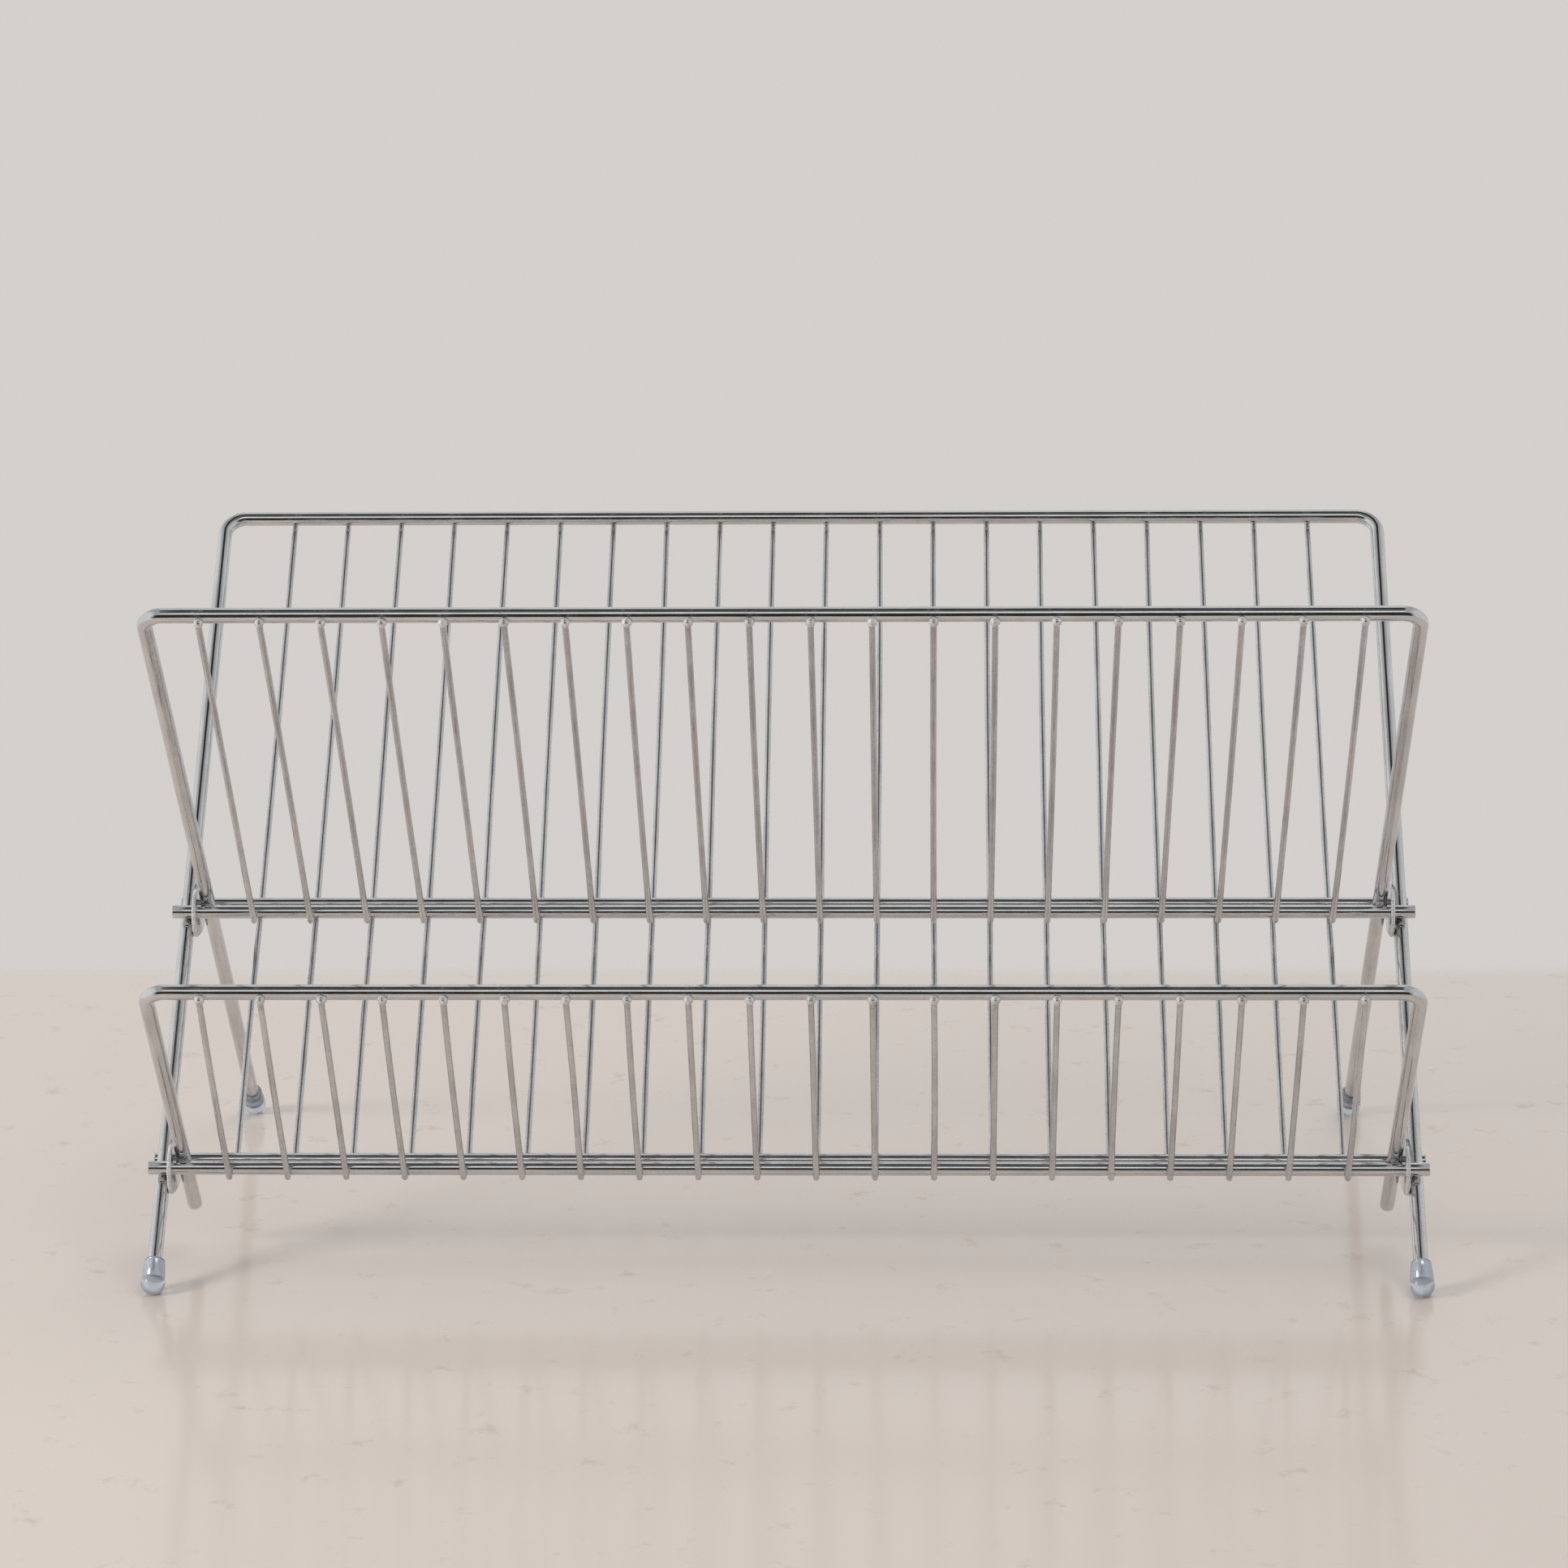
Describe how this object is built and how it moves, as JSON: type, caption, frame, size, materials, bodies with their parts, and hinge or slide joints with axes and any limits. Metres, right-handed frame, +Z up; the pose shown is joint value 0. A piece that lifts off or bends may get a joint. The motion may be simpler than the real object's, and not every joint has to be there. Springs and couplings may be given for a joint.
{
  "type": "folding dish drying rack",
  "caption": "Folding chromed wire dish rack: a leaning slatted frame crossed by an upper frame forms a plate cradle, and a short frame below forms a cup tray.",
  "frame": {"origin": "on the floor, under the middle of the open rack's bounding box", "axes": "+X along the rack to its right seen from the front, +Y to the back, +Z up"},
  "size_m": [0.482, 0.3163, 0.2587],
  "materials": {
    "frame_chrome": "bright chrome plating on drawn steel wire, slightly uneven at the welds",
    "slat_chrome": "bright chrome plating on thin wire with fine pits",
    "hinge_steel": "chrome plated stamped plate with eased rim",
    "foot_pvc": "clear bluish soft PVC, satin, translucent"
  },
  "bodies": {
    "long_frame": {"long_frame_wire": "frame_chrome", "upper_rear_rod": "frame_chrome", "lower_rear_rod": "frame_chrome", "hinge_plate_upper_left": "hinge_steel", "hinge_plate_upper_right": "hinge_steel", "hinge_plate_lower_left": "hinge_steel", "hinge_plate_lower_right": "hinge_steel", "long_slats_01": "slat_chrome", "long_slats_02": "slat_chrome", "long_slats_03": "slat_chrome", "long_slats_04": "slat_chrome", "long_slats_05": "slat_chrome", "long_slats_06": "slat_chrome", "long_slats_07": "slat_chrome", "long_slats_08": "slat_chrome", "long_slats_09": "slat_chrome", "long_slats_10": "slat_chrome", "foot_cap_front_left": "foot_pvc", "foot_cap_front_right": "foot_pvc"},
    "upper_frame": {"upper_frame_wire": "frame_chrome", "upper_front_rod": "frame_chrome", "upper_slats_01": "slat_chrome", "upper_slats_02": "slat_chrome", "upper_slats_03": "slat_chrome", "upper_slats_04": "slat_chrome", "upper_slats_05": "slat_chrome", "upper_slats_06": "slat_chrome", "upper_slats_07": "slat_chrome", "upper_slats_08": "slat_chrome", "upper_slats_09": "slat_chrome", "upper_slats_10": "slat_chrome", "foot_cap_rear_left": "foot_pvc", "foot_cap_rear_right": "foot_pvc"},
    "lower_frame": {"lower_frame_wire": "frame_chrome", "lower_front_rod": "frame_chrome", "lower_slats_01": "slat_chrome", "lower_slats_02": "slat_chrome", "lower_slats_03": "slat_chrome", "lower_slats_04": "slat_chrome", "lower_slats_05": "slat_chrome", "lower_slats_06": "slat_chrome", "lower_slats_07": "slat_chrome", "lower_slats_08": "slat_chrome", "lower_slats_09": "slat_chrome", "lower_slats_10": "slat_chrome"}
  },
  "joints": [
    {"name": "upper_fold", "type": "hinge", "parent": "long_frame", "child": "upper_frame", "pos_m": [0, -0.00373, 0.11409], "axis": [-1, 0, 0], "range_deg": [0, 85]},
    {"name": "tray_fold", "type": "hinge", "parent": "long_frame", "child": "lower_frame", "pos_m": [0, -0.09347, 0.03852], "axis": [-1, 0, 0], "range_deg": [0, 82.45]}
  ],
  "couplings": [
    {"joint": "tray_fold", "follows": "upper_fold", "ratio": 0.97}
  ]
}
